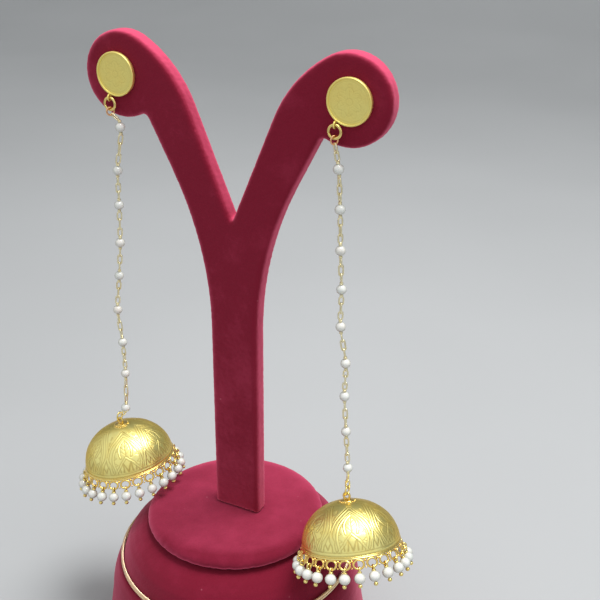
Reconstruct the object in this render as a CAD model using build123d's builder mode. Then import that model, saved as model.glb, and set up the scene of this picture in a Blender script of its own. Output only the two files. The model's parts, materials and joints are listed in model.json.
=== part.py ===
from build123d import *
import math
import os
from collections import namedtuple

# Pair of jhumka earrings pinned to a Y-shaped velvet display stand.
# Millimetres. Origin at the centre of the stand's foot, +Z up, +X along the
# board to the right of someone who faces the studs, -Y towards them.

# ---- Stand: weighted base, padded top, Y board --------------------------
foot_radius = 45.0
foot_edge = 1.5
waist = (41.5, 22.7)
lip_bulge = (40.5, 29.3)
lip = (38.1, 34.2)
lip_top = (37.25, 34.35)
shoulder_radius = 37.2
shoulder_height = 35.5
shoulder_bulge = (33.2, 43.3)
crease_radius = 27.2
base_height = 47.2

pad_foot_radius = 26.8
pad_bottom = 47.4
pad_side = (28.6, 49.5)
pad_shoulder = (27.3, 51.3)
pad_brow = (26.0, 51.85)
pad_flat_radius = 24.2
pad_top = 52.0

cord_diameter = 0.9
cord_heights = (36.0, 35.0)
cord_clearance = 0.12

board_x = 1.5
board_y = 0.8
board_thickness = 5.6
board_edge = 1.2
board_gap = 0.2
stem_half_width = 7.8
stem_height = 64.4
arm_angle = 27.4
arm_bend_radius = 101.2
arm_corner_round = 2.0
fork_height = 98.3
fork_round = 0.6
head_x = 34.9
head_height = 136.8
head_radius = 12.2
arm_top_angle = 119.5
arm_top_radius = 36.0

# ---- Stud: engraved disc with a raised rim, an eyelet and a stepped post --
stud_x = 35.87
stud_height = 136.99
disc_radius = 6.25
disc_back = 0.25
disc_thickness = 0.85
rim_height = 1.2
rim_width = 0.55
post_radius = 0.58
post_length = 11.0
post_tip = 4.5
post_tip_radius = 0.4
post_hole_radius = 0.8
eyelet_radius = 0.85
eyelet_wire = 0.25
eyelet_reach = 7.05
eyelet_forward = 4.3

# ---- Rings and wire ------------------------------------------------------
stud_ring_radius = 1.75
stud_ring_wire = 0.4
small_ring_radius = 1.15
small_ring_wire = 0.25
small_ring_turn = -30.0
eye_radius = 0.9
eye_wire = 0.25
drop_ring_radius = 1.4
drop_ring_wire = 0.25
link_slack = 0.1
chain_radius = 1.5

# ---- Jhumka dome and its fringe ------------------------------------------
dome_radius = 14.9
dome_height = 13.0
dome_side_radius = 11.7
dome_wall = 0.5
rim_wire = 0.45
cap_radius = 2.2
cap_height = 0.45
cap_skirt = 0.3
loop_radius = 0.95
loop_wire = 0.35
pearl_count = 24
gallery_radius = 1.3
gallery_wire = 0.3
gallery_centre = (15.3, -1.55)
gallery_flare = 20.0
hanger_radius = 0.7
hanger_wire = 0.2
pearl_radius = 1.65
pearl_flare = 25.0
pearl_reach = 2.55
end_ball_radius = 0.65
end_ball_reach = 2.05
thread_radius = 0.4

# One row for each earring: the side's sign, the angle of the stud's eyelet
# from straight down, the dome's rim centre, its lean about X and about Y,
# and the points where the chain bends between the stud and the dome.
Side = namedtuple("Side", "name sign eyelet_angle rim_centre lean_x lean_y bends")
sides = (
    Side("left", -1, 18.0, (-39.9, -2.6, 59.3), 0.65, -10.7,
         ((-36.2, -3.0, 157.0), (-39.7, -2.8, 117.0), (-39.1, -2.6, 94.0))),
    Side("right", 1, 30.0, (44.72, -8.1, 58.45), -15.8, -14.5,
         ((36.2, -3.4, 153.0), (37.3, -3.8, 126.0), (39.9, -4.2, 103.0))),
)


def save(part, name):
    """Label a finished piece and write it as one STEP file."""
    part.label = name
    os.makedirs("parts", exist_ok=True)
    export_step(part, f"parts/{name}.step")


def ring_at(centre, hole_azimuth, radius, wire):
    """A wire ring standing upright, its hole facing along hole_azimuth."""
    with BuildPart() as ring:
        with Locations(Location(centre, (0, 0, hole_azimuth))):
            Torus(radius, wire, rotation=(0, 90, 0))
    return ring.part


# ---- Base ------------------------------------------------------------------
with BuildPart() as stand_base:
    with BuildSketch(Plane.XZ):
        with BuildLine():
            foot_corner = foot_radius - foot_edge
            Line((0, 0), (foot_corner, 0))
            RadiusArc((foot_corner, 0), (foot_radius, foot_edge), -foot_edge)
            Line((foot_radius, foot_edge), waist)
            ThreePointArc(waist, lip_bulge, lip)
            Line(lip, lip_top)
            Line(lip_top, (shoulder_radius, shoulder_height))
            ThreePointArc((shoulder_radius, shoulder_height), shoulder_bulge, (crease_radius, base_height))
            Line((crease_radius, base_height), (0, base_height))
            Line((0, base_height), (0, 0))
        make_face()
    revolve(axis=Axis.Z)
save(stand_base.part, "stand_base")

# ---- Padded top ------------------------------------------------------------
with BuildPart() as stand_pad:
    with BuildSketch(Plane.XZ):
        with BuildLine():
            Line((0, pad_bottom), (pad_foot_radius, pad_bottom))
            ThreePointArc((pad_foot_radius, pad_bottom), pad_side, pad_shoulder)
            ThreePointArc(pad_shoulder, pad_brow, (pad_flat_radius, pad_top))
            Line((pad_flat_radius, pad_top), (0, pad_top))
            Line((0, pad_top), (0, pad_bottom))
        make_face()
    revolve(axis=Axis.Z)
save(stand_pad.part, "stand_pad")

# ---- Two metallic cords round the base's shoulder ---------------------------
cord_reach = shoulder_radius + cord_diameter / 2 + cord_clearance
for cord_name, cord_height in zip(("trim_cord_upper", "trim_cord_lower"), cord_heights):
    with BuildPart() as trim_cord:
        with Locations((0, 0, cord_height)):
            Torus(cord_reach, cord_diameter / 2)
    save(trim_cord.part, cord_name)

# ---- Y board ----------------------------------------------------------------
# Each arm leaves the stem in an arc, runs straight to the round head, and comes
# back from the head's top in a wide arc and a straight edge down to the fork.
head = Vector(head_x, head_height)
bend = math.radians(arm_angle)
arm_run = Vector(math.sin(bend), math.cos(bend))
arm_start = Vector(
    stem_half_width + arm_bend_radius * (1 - math.cos(bend)),
    stem_height + arm_bend_radius * math.sin(bend),
)
head_along = (head - arm_start).dot(arm_run)
head_across = (head - arm_start - arm_run * head_along).length
arm_corner = arm_start + arm_run * (head_along - math.sqrt(head_radius**2 - head_across**2))
top_normal = Vector(1, 0).rotate(Axis.Z, arm_top_angle)
top_start = head + top_normal * head_radius
top_centre = top_start - top_normal * arm_top_radius
fork = Vector(0, fork_height)
fork_reach = fork - top_centre
fork_bearing = math.degrees(math.atan2(fork_reach.Y, fork_reach.X)) % 360
top_end_angle = fork_bearing - math.degrees(math.acos(arm_top_radius / fork_reach.length))
board_plane = Plane(origin=(board_x, board_y, pad_top), x_dir=(1, 0, 0), z_dir=(0, -1, 0))
with BuildPart() as stand_board:
    with BuildSketch(board_plane):
        with BuildLine():
            Line((0, board_gap), (stem_half_width, board_gap))
            stem_side = Line((stem_half_width, board_gap), (stem_half_width, stem_height))
            arm_side = TangentArc(stem_side @ 1, arm_start, tangent=(0, 1))
            Line(arm_side @ 1, arm_corner)
            Line(arm_corner, head)
            Line(head, top_start)
            arm_top = CenterArc(top_centre, arm_top_radius, arm_top_angle, top_end_angle - arm_top_angle)
            Line(arm_top @ 1, fork)
            Line(fork, (0, board_gap))
        make_face()
        with Locations((head_x, head_height)):
            Circle(head_radius)
        mirror(about=Plane.YZ)
    extrude(amount=board_thickness / 2, both=True)
    upright = stand_board.edges().filter_by(Axis.Y)
    fork_edge = upright.sort_by_distance((board_x, board_y, pad_top + fork_height))[0]
    fillet(fork_edge, fork_round)
    for arm_sign in (-1, 1):
        corner = (board_x + arm_sign * arm_corner.X, board_y, pad_top + arm_corner.Y)
        upright = stand_board.edges().filter_by(Axis.Y)
        fillet(upright.sort_by_distance(corner)[0], arm_corner_round)
    broad_faces = stand_board.faces().sort_by(Axis.Y)
    fillet(broad_faces[0].edges() + broad_faces[-1].edges(), board_edge)
    with BuildSketch(board_plane):
        with Locations((-stud_x, stud_height), (stud_x, stud_height)):
            Circle(post_hole_radius)
    extrude(amount=board_thickness, both=True, mode=Mode.SUBTRACT)
save(stand_board.part, "stand_board")

# ---- Dome: hollow shell, rim wire, openwork gallery, cap and top loop ---------
# Its outline is a side arc that starts upright at the rim and runs smoothly
# into a wider crown arc, whose radius makes the two tangent.
side_centre = (dome_radius - dome_side_radius, 0)
crown_radius = (side_centre[0] ** 2 + dome_height**2 - dome_side_radius**2) / (2 * (dome_height - dome_side_radius))
crown_centre = (0, dome_height - crown_radius)
side_angle = math.degrees(math.atan2(-crown_centre[1], side_centre[0]))
cap_top = dome_height + cap_height
cap_foot = dome_height - cap_skirt
loop_height = cap_top + loop_radius - loop_wire / 2
with BuildPart() as dome:
    with BuildSketch(Plane.XZ):
        with BuildLine():
            for inset in (0, dome_wall):
                CenterArc(side_centre, dome_side_radius - inset, 0, side_angle)
                CenterArc(crown_centre, crown_radius - inset, side_angle, 90 - side_angle)
            Line((0, dome_height), (0, dome_height - dome_wall))
            Line((dome_radius - dome_wall, 0), (dome_radius, 0))
        make_face()
    revolve(axis=Axis.Z)
    Torus(dome_radius - rim_wire / 2, rim_wire)
    with PolarLocations(gallery_centre[0], pearl_count):
        with Locations((0, 0, gallery_centre[1])):
            Torus(gallery_radius, gallery_wire, rotation=(0, 90 - gallery_flare, 0))
    with BuildSketch(Plane.XZ):
        with BuildLine():
            Line((0, cap_foot), (cap_radius, cap_foot))
            Line((cap_radius, cap_foot), (cap_radius, dome_height))
            ThreePointArc((cap_radius, dome_height), (cap_radius * 0.7, cap_top - cap_height / 4), (0, cap_top))
            Line((0, cap_top), (0, cap_foot))
        make_face()
    revolve(axis=Axis.Z)
    with Locations((0, 0, loop_height)):
        Torus(loop_radius, loop_wire, rotation=(90, 0, 0))

# The dome hangs from the lowest point of the drop ring's wire, inside its
# top loop, and the drop ring from the lowest point of the chain's end eye.
hang_height = loop_height + loop_radius - loop_wire - drop_ring_wire - link_slack
ring_lever = 2 * drop_ring_radius - eye_wire - drop_ring_wire - link_slack

# ---- Fringe: pearls on head pins, joined along a thread ------------------------
flare = math.radians(pearl_flare)
gallery_lean = math.radians(gallery_flare)
gallery_foot = (
    gallery_centre[0] + gallery_radius * math.sin(gallery_lean),
    gallery_centre[1] - gallery_radius * math.cos(gallery_lean),
)
hanger_drop = hanger_radius - gallery_wire - hanger_wire - link_slack
hanger_centre = (
    gallery_foot[0] + hanger_drop * math.sin(flare),
    gallery_foot[1] - hanger_drop * math.cos(flare),
)
pearl_centre = (
    gallery_foot[0] + pearl_reach * math.sin(flare),
    gallery_foot[1] - pearl_reach * math.cos(flare),
)
end_ball_centre = (
    pearl_centre[0] + end_ball_reach * math.sin(flare),
    pearl_centre[1] - end_ball_reach * math.cos(flare),
)
with BuildPart() as fringe:
    with Locations((0, 0, pearl_centre[1])):
        Torus(pearl_centre[0], thread_radius)
    with PolarLocations(0, pearl_count):
        with Locations((pearl_centre[0], 0, pearl_centre[1])):
            Sphere(pearl_radius)
        with Locations((end_ball_centre[0], 0, end_ball_centre[1])):
            Sphere(end_ball_radius)
        with Locations((hanger_centre[0], 0, hanger_centre[1])):
            Torus(hanger_radius, hanger_wire, rotation=(90, 0, 0))

# ---- The two earrings -----------------------------------------------------------
for side in sides:
    # Stud: its disc faces the viewer and its post runs back through the board.
    stud_centre = Vector(board_x + side.sign * stud_x, 0, pad_top + stud_height)
    disc_plane_y = board_y - board_thickness / 2 - disc_back
    with BuildPart() as stud:
        stud_axis = Axis((stud_centre.X, disc_plane_y, stud_centre.Z), (0, -1, 0))
        stud_plane = Plane(origin=stud_axis.position, x_dir=(1, 0, 0), z_dir=(0, 0, 1))
        with BuildSketch(stud_plane):
            with BuildLine():
                Polyline(
                    (0, post_length),
                    (post_tip_radius, post_length),
                    (post_tip_radius, post_length - post_tip),
                    (post_radius, post_length - post_tip),
                    (post_radius, 0),
                    (disc_radius, 0),
                    (disc_radius, -rim_height),
                    (disc_radius - rim_width, -rim_height),
                    (disc_radius - rim_width, -disc_thickness),
                    (0, -disc_thickness),
                    close=True,
                )
            make_face()
        revolve(axis=stud_axis)
        rim_edges = stud.edges().filter_by(GeomType.CIRCLE).sort_by(Axis.Y)[0:2]
        fillet(rim_edges, rim_width * 0.4)
        eyelet_angle = math.radians(side.eyelet_angle)
        eyelet_centre = (
            stud_centre.X - eyelet_reach * math.sin(eyelet_angle),
            board_y - eyelet_forward,
            stud_centre.Z - eyelet_reach * math.cos(eyelet_angle),
        )
        with Locations(eyelet_centre):
            Torus(eyelet_radius, eyelet_wire, rotation=(0, 90, 0))
    save(stud.part, f"{side.name}_stud")

    # Rings between the stud and the chain.
    stud_ring_centre = Vector(*eyelet_centre) - Vector(0, 0, stud_ring_radius)
    save(ring_at(stud_ring_centre, 90, stud_ring_radius, stud_ring_wire), f"{side.name}_stud_ring")
    small_drop = stud_ring_radius + small_ring_radius - stud_ring_wire - small_ring_wire - link_slack
    small_ring_centre = stud_ring_centre - Vector(0, 0, small_drop)
    small_ring = ring_at(small_ring_centre, small_ring_turn, small_ring_radius, small_ring_wire)
    save(small_ring, f"{side.name}_small_ring")

    # The dome's place, and the two points it swings about.
    drop_place = Location(side.rim_centre, (side.lean_x, side.lean_y, 0))
    dome_pivot = Vector(*(drop_place * Location((0, 0, hang_height))).position)
    lean = math.radians(side.lean_x)
    ring_up = Vector(0, -math.sin(lean), math.cos(lean))
    ring_centre = dome_pivot + ring_up * drop_ring_radius
    ring_pivot = dome_pivot + ring_up * ring_lever
    print(f"{side.name} dome pivot", [round(v, 4) for v in dome_pivot])
    print(f"{side.name} ring pivot", [round(v, 4) for v in ring_pivot])

    with BuildPart() as drop_ring:
        with Locations(Location(ring_centre, (side.lean_x, 0, 0))):
            Torus(drop_ring_radius, drop_ring_wire, rotation=(0, 90, 0))
    save(drop_ring.part, f"{side.name}_drop_ring")

    # Chain: a tube along the string of pearls, with an open eye at each end.
    top_eye_drop = small_ring_radius + eye_radius - small_ring_wire - eye_wire - link_slack
    top_eye = small_ring_centre - Vector(0, 0, top_eye_drop)
    bends = [Vector(*bend) for bend in side.bends]
    tube_start = top_eye - Vector(0, 0, eye_radius)
    end_direction = (bends[-1] - ring_pivot).normalized()
    end_eye = ring_pivot + end_direction * eye_radius
    tube_end = ring_pivot + end_direction * 2 * eye_radius
    corners = [tube_start] + bends + [tube_end]
    fillets = []
    for before, corner, after in zip(corners, corners[1:], corners[2:]):
        turn = math.radians((corner - before).get_angle(after - corner))
        shorter = min((corner - before).length, (after - corner).length)
        fillets.append(0.45 * shorter / math.tan(turn / 2))
    print(f"{side.name} chain bend radii", [round(radius) for radius in fillets])
    with BuildPart() as chain:
        with BuildLine():
            route = FilletPolyline(*corners, radius=fillets)
        with BuildSketch(Plane(origin=route @ 0, z_dir=route % 0)):
            Circle(chain_radius)
        sweep(path=route)
        swept = chain.part.volume
        with Locations(Location(top_eye, (0, 0, small_ring_turn + 90))):
            Torus(eye_radius, eye_wire, rotation=(0, 90, 0))
        with Locations(end_eye):
            Torus(eye_radius, eye_wire, rotation=(90, 0, 0))
    straight_volume = math.pi * chain_radius**2 * route.length
    print(f"{side.name} chain length {route.length:.1f}, volume ratio {swept / straight_volume:.4f}")
    save(chain.part, f"{side.name}_chain")

    # The dome and the fringe hang on the drop ring, leaning as one.
    save(dome.part.moved(drop_place), f"{side.name}_dome")
    save(fringe.part.moved(drop_place), f"{side.name}_fringe")
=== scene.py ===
"""A pair of jhumka earrings on a Y-shaped velvet stand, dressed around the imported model."""

from __future__ import annotations

import json
import logging
import math
import random
from dataclasses import dataclass, field
from enum import Enum

import bmesh
import bpy
import numpy as np
from mathutils import Euler, Matrix, Vector, noise

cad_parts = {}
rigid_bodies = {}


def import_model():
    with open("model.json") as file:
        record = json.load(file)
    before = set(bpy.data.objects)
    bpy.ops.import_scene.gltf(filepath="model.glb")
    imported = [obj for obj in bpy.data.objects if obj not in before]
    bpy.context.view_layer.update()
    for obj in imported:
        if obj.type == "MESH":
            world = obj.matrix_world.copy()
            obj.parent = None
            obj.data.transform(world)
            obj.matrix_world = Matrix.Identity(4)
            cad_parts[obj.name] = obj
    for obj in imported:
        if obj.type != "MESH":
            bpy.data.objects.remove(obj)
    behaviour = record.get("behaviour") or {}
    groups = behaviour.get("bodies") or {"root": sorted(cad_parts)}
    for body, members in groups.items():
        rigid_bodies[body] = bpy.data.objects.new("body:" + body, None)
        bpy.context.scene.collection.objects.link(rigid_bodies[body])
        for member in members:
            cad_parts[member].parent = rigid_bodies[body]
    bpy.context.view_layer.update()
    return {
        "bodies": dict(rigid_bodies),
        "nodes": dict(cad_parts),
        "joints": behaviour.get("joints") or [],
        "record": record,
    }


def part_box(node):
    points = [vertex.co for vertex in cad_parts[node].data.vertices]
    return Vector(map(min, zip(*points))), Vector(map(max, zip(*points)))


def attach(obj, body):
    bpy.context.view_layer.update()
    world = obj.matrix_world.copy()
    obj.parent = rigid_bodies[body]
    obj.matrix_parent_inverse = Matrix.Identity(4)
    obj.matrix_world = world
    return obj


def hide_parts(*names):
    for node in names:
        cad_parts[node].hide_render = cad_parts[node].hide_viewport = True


LOG = logging.getLogger("jhumka")
MM = 0.001
TURN = 2 * math.pi
Color = tuple[float, float, float]
Point = tuple[float, float, float]
RingSize = tuple[float, float, float]  # the centre line's radius, the wire's, and the joint's angle in degrees


class Slot(Enum):
    """Material slots of the record."""

    VELVET = "velvet"
    GOLD = "gold"
    PEARL = "pearl"
    CORD = "gold_cord"


class Hand(Enum):
    """Which earring of the pair, as a body and node prefix."""

    LEFT = "left"
    RIGHT = "right"


# ---------------------------------------------------------------------------
# Node helpers
# ---------------------------------------------------------------------------


class Graph:
    """A node tree while it is being wired."""

    def __init__(self, tree: bpy.types.NodeTree) -> None:
        """Args: tree: the tree to fill, emptied first."""
        self.tree = tree
        tree.nodes.clear()

    def add(self, kind: str, inputs: dict | None = None, **settings: object) -> bpy.types.Node:
        """Add a node.

        Args:
            kind: the node's type name without its Shader prefix.
            inputs: socket name or index to a value or to the socket that feeds it; colours need no alpha.
            settings: the node's own properties.

        Returns:
            The new node.
        """
        node = self.tree.nodes.new(kind if kind.startswith("Node") else f"ShaderNode{kind}")
        for key, value in settings.items():
            setattr(node, key, value)
        for key, value in (inputs or {}).items():
            socket = node.inputs[key]
            if isinstance(value, bpy.types.NodeSocket):
                self.tree.links.new(value, socket)
            else:
                socket.default_value = (*value, 1.0) if socket.type == "RGBA" and len(value) == 3 else value
        return node

    def place(self) -> bpy.types.NodeSocket:
        """Returns: the object's own coordinates."""
        return self.add("TexCoord").outputs["Object"]

    def facing(self) -> bpy.types.NodeSocket:
        """Returns: how far the surface turns away from the viewer."""
        return self.add("LayerWeight", {"Blend": 0.5}).outputs["Facing"]

    def math(self, operation: str, first: object, second: object = 0.0) -> bpy.types.NodeSocket:
        """Combine two numbers or sockets. Args: the Math operation, and the two. Returns: the result's socket."""
        return self.add("Math", {0: first, 1: second}, operation=operation).outputs[0]

    def blend(self, factor: object, first: object, second: object) -> bpy.types.NodeSocket:
        """Blend two colours. Args: how much of the second, and the two. Returns: the colour's socket."""
        return self.add("Mix", {0: factor, 6: first, 7: second}, data_type="RGBA").outputs[2]

    def remap(self, value: bpy.types.NodeSocket, low: float, high: float, start: float = 0.0,
              end: float = 1.0) -> bpy.types.NodeSocket:
        """Stretch low to high over start to end. Args: the value and the ends. Returns: the result's socket."""
        inputs = {"Value": value, "From Min": low, "From Max": high, "To Min": start, "To Max": end}
        return self.add("MapRange", inputs, clamp=True).outputs[0]

    def grain(self, vector: bpy.types.NodeSocket, scale: object, detail: float = 2.0,
              rough: float = 0.5) -> bpy.types.NodeSocket:
        """Noise. Args: coordinates, repeats per metre, octaves, the finer ones' weight. Returns: its socket."""
        inputs = {"Vector": vector, "Scale": scale, "Detail": detail, "Roughness": rough}
        return self.add("TexNoise", inputs).outputs[0]

    def bump(self, height: bpy.types.NodeSocket, strength: float, distance: float) -> bpy.types.NodeSocket:
        """Bend normals by a height. Args: its socket, strength and depth in metres. Returns: their socket."""
        return self.add("Bump", {"Strength": strength, "Distance": distance, "Height": height}).outputs[0]

    def surface(self, inputs: dict) -> None:
        """End the material in its shader. Args: inputs: the shader's inputs."""
        shader = self.add("BsdfPrincipled", inputs)
        self.add("OutputMaterial", {"Surface": shader.outputs[0]})


def new_group(name: str, inputs: dict[str, object],
              outputs: dict[str, str]) -> tuple[bpy.types.NodeTree, Graph, bpy.types.Node]:
    """Start a shader node group.

    Args:
        name: the group's name.
        inputs: input name to its default, a number or a colour.
        outputs: output name to its socket type.

    Returns:
        The tree, its graph and its input node.
    """
    tree = bpy.data.node_groups.new(name, "ShaderNodeTree")
    for key, value in inputs.items():
        kind = "NodeSocketColor" if isinstance(value, tuple) else "NodeSocketFloat"
        socket = tree.interface.new_socket(key, in_out="INPUT", socket_type=kind)
        socket.default_value = (*value, 1.0) if isinstance(value, tuple) else value
    for key, kind in outputs.items():
        tree.interface.new_socket(key, in_out="OUTPUT", socket_type=kind)
    graph = Graph(tree)
    return tree, graph, graph.add("NodeGroupInput")


SURFACE_OUTPUTS = {"Color": "NodeSocketColor", "Roughness": "NodeSocketFloat", "Height": "NodeSocketFloat"}


def pile_group() -> bpy.types.NodeTree:
    """Short velvet pile: brushed nap, fine tufts and a few specks of lint, blended from Deep to Lit by the nap and by
    Facing, which carries painted sheen and painted top light.

    Returns:
        The node group.
    """
    defaults = {"Deep": (0.2, 0.0, 0.03), "Lit": (0.4, 0.02, 0.08), "Lint": (0.8, 0.5, 0.5), "Facing": 0.0,
                "Nap Scale": 90.0, "Tuft Scale": 1500.0, "Lint Scale": 300.0}
    tree, graph, given = new_group("velvet_pile", defaults, SURFACE_OUTPUTS)
    place = graph.place()
    nap = graph.grain(place, given.outputs["Nap Scale"], 3.0, 0.6)
    tuft = graph.grain(place, given.outputs["Tuft Scale"], 2.0, 0.6)
    brushed = graph.remap(nap, 0.35, 0.68)
    speckled = graph.math("ADD", graph.math("MULTIPLY", brushed, 0.5), graph.math("MULTIPLY", tuft, 0.5))
    # painted light: Facing carries painted sheen and painted top light, added to the nap's own variation
    painted_light_blend = graph.math("ADD", graph.remap(speckled, 0.15, 0.9, -0.16, 0.16), given.outputs["Facing"])
    pile = graph.blend(graph.remap(painted_light_blend, 0.0, 1.0), given.outputs["Deep"], given.outputs["Lit"])
    cells = graph.add("TexVoronoi", {"Vector": place, "Scale": given.outputs["Lint Scale"]}, feature="F1")
    near = graph.remap(cells.outputs["Distance"], 0.05, 0.11, 1.0, 0.0)
    picked = graph.remap(graph.add("SeparateColor", {0: cells.outputs["Color"]}).outputs[0], 0.9, 0.93)
    lint = graph.math("MULTIPLY", near, picked)
    color = graph.blend(graph.math("MULTIPLY", lint, 0.3), pile, given.outputs["Lint"])
    rough = graph.remap(tuft, 0.3, 0.7, 0.82, 1.0)
    height = graph.math("ADD", tuft, graph.math("MULTIPLY", nap, 0.8))
    graph.add("NodeGroupOutput", {"Color": color, "Roughness": rough, "Height": height})
    return tree


def plating_group() -> bpy.types.NodeTree:
    """Plated metal: uneven tone, smudges, hairlines, darker chased grooves and a painted warm reflection towards
    grazing edges.

    Returns:
        The node group.
    """
    defaults = {"Plate": (0.86, 0.7, 0.2), "Warm": (0.8, 0.5, 0.12), "Groove": (0.3, 0.16, 0.03),
                "Groove Amount": 0.0, "Tone Scale": 160.0, "Smooth": 0.15, "Rough": 0.3, "Edge": 0.0}
    tree, graph, given = new_group("plated_metal", defaults, SURFACE_OUTPUTS)
    place = graph.place()
    tone = graph.grain(place, given.outputs["Tone Scale"], 3.0, 0.55)
    fine = graph.grain(place, 2600.0, 2.0, 0.6)
    stretched = graph.add("Mapping", {"Vector": place, "Scale": (1.0, 1.0, 9.0)}).outputs[0]
    hairline = graph.grain(stretched, 900.0, 2.0, 0.7)
    # random warm tone plus the painted warm reflection at grazing edges
    tone_and_edge_reflection = graph.math("ADD", graph.remap(tone, 0.42, 0.72, 0.0, 0.5), given.outputs["Edge"])
    plate = graph.blend(graph.remap(tone_and_edge_reflection, 0.0, 1.0), given.outputs["Plate"], given.outputs["Warm"])
    cut = graph.add("Attribute", attribute_name="groove").outputs["Fac"]
    shaded = graph.math("MULTIPLY", cut, given.outputs["Groove Amount"])
    color = graph.blend(shaded, plate, given.outputs["Groove"])
    smudge = graph.math("ADD", graph.math("MULTIPLY", tone, 0.6), graph.math("MULTIPLY", fine, 0.4))
    spread = graph.math("SUBTRACT", given.outputs["Rough"], given.outputs["Smooth"])
    rough = graph.math("ADD", given.outputs["Smooth"], graph.math("MULTIPLY", graph.remap(smudge, 0.35, 0.65), spread))
    rough = graph.math("ADD", rough, graph.math("MULTIPLY", shaded, 0.25))
    height = graph.math("ADD", graph.math("MULTIPLY", fine, 0.6), graph.math("MULTIPLY", hairline, 0.4))
    graph.add("NodeGroupOutput", {"Color": color, "Roughness": rough, "Height": height})
    return tree


class Groups:
    """The shared effects, each built once."""

    def __init__(self) -> None:
        """Build every group."""
        self.pile = pile_group()
        self.plating = plating_group()


def start_material(name: str) -> tuple[bpy.types.Material, Graph]:
    """An empty node material.

    Args:
        name: the material's name.

    Returns:
        The material and its graph.
    """
    material = bpy.data.materials.new(name)
    material.use_nodes = True
    return material, Graph(material.node_tree)


@dataclass(frozen=True)
class Velvet:
    """A velvet finish, with painted sheen where it turns from the viewer and painted top light where it faces up."""

    name: str
    deep: Color
    # lit: the painted light colour, for grazing faces and faces that turn up; deep is the face-on colour
    lit: Color
    lint: Color = (0.62, 0.2, 0.26)
    sheen: Color = (1.0, 0.36, 0.48)
    sheen_weight: float = 0.42
    # painted sheen range and painted top light: how far facing and upward faces pull towards lit
    painted_sheen_range: tuple[float, float] = (0.2, 0.76)
    painted_top_light: float = 0.0
    nap_scale: float = 85.0
    tuft_scale: float = 1700.0
    bump: float = 0.35
    bump_depth: float = 0.00025

    def build(self, groups: Groups) -> bpy.types.Material:
        """Args: groups: the shared effects. Returns: the material."""
        material, graph = start_material(self.name)
        # painted top light on upward faces plus painted sheen from facing
        upward = graph.add("SeparateXYZ", {0: graph.add("NewGeometry").outputs["Normal"]}).outputs[2]
        painted_top_light = graph.remap(upward, 0.25, 0.85, 0.0, self.painted_top_light)
        painted_light_blend = graph.math("ADD", graph.remap(graph.facing(), *self.painted_sheen_range), painted_top_light)
        effect = graph.add("Group", {"Facing": painted_light_blend, "Deep": self.deep, "Lit": self.lit, "Lint": self.lint,
                                     "Nap Scale": self.nap_scale, "Tuft Scale": self.tuft_scale},
                           node_tree=groups.pile).outputs
        graph.surface({"Base Color": effect["Color"], "Roughness": effect["Roughness"],
                       "Normal": graph.bump(effect["Height"], self.bump, self.bump_depth),
                       "Specular IOR Level": 0.12, "Sheen Weight": self.sheen_weight,
                       "Sheen Roughness": 0.45, "Sheen Tint": self.sheen})
        return material


@dataclass(frozen=True)
class Plate:
    """A plated metal finish, with a painted warm reflection towards its grazing edges."""

    name: str
    plate: Color
    warm_tone_and_reflection: Color
    groove: Color = (0.33, 0.17, 0.03)
    groove_amount: float = 0.0
    smooth: float = 0.16
    rough: float = 0.3
    tone_scale: float = 170.0
    # edge: how much painted warm reflection the grazing edges take
    edge: float = 0.8
    bump: float = 0.12
    bump_depth: float = 0.00008
    coat: float = 0.0
    tint: Color = (1.0, 1.0, 1.0)

    def build(self, groups: Groups) -> bpy.types.Material:
        """Args: groups: the shared effects. Returns: the material."""
        material, graph = start_material(self.name)
        # painted reflection: a warmer colour towards grazing edges
        edge = graph.remap(graph.facing(), 0.35, 0.95, 0.0, self.edge)
        effect = graph.add("Group", {"Edge": edge, "Plate": self.plate, "Warm": self.warm_tone_and_reflection, "Groove": self.groove,
                                     "Groove Amount": self.groove_amount, "Tone Scale": self.tone_scale,
                                     "Smooth": self.smooth, "Rough": self.rough}, node_tree=groups.plating).outputs
        graph.surface({"Base Color": effect["Color"], "Roughness": effect["Roughness"],
                       "Normal": graph.bump(effect["Height"], self.bump, self.bump_depth), "Metallic": 1.0,
                       "Coat Weight": self.coat, "Coat Roughness": 0.22, "Specular Tint": self.tint})
        return material


@dataclass(frozen=True)
class Nacre:
    """A pearl's lustre, with painted shade towards its outline."""

    name: str
    body: Color = (0.77, 0.77, 0.73)
    cloud: Color = (0.6, 0.64, 0.6)
    blush: Color = (0.8, 0.72, 0.64)
    # rim: painted shade towards the outline
    rim: Color = (0.4, 0.41, 0.35)
    bump: float = 0.12
    bump_depth: float = 0.00006

    def build(self) -> bpy.types.Material:
        """Returns: the material."""
        material, graph = start_material(self.name)
        place = graph.place()
        cloudy = graph.grain(place, 420.0, 3.0, 0.6)
        patch = graph.grain(place, 130.0, 1.0, 0.5)
        fine = graph.grain(place, 2400.0, 2.0, 0.5)
        color = graph.blend(graph.remap(cloudy, 0.4, 0.7, 0.0, 0.6), self.body, self.cloud)
        color = graph.blend(graph.remap(patch, 0.45, 0.7, 0.0, 0.6), color, self.blush)
        # painted shade: darker towards the outline as the surface turns from the viewer
        color = graph.blend(graph.remap(graph.facing(), 0.22, 0.9, 0.0, 0.85), color, self.rim)
        rough = graph.remap(cloudy, 0.35, 0.7, 0.2, 0.34)
        graph.surface({"Base Color": color, "Roughness": rough,
                       "Normal": graph.bump(fine, self.bump, self.bump_depth), "Specular IOR Level": 0.55,
                       "Coat Weight": 0.7, "Coat Roughness": 0.1, "Subsurface Weight": 0.1,
                       "Subsurface Radius": (1.0, 0.8, 0.7), "Subsurface Scale": 0.0008})
        return material


# ---------------------------------------------------------------------------
# Shapes, worked in millimetres
# ---------------------------------------------------------------------------


def turned(degrees: float, axis: str = "Z") -> Matrix:
    """A turn about an axis. Args: degrees: the angle. axis: X, Y or Z. Returns: the 4 x 4 matrix."""
    return Matrix.Rotation(math.radians(degrees), 4, axis)


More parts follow.
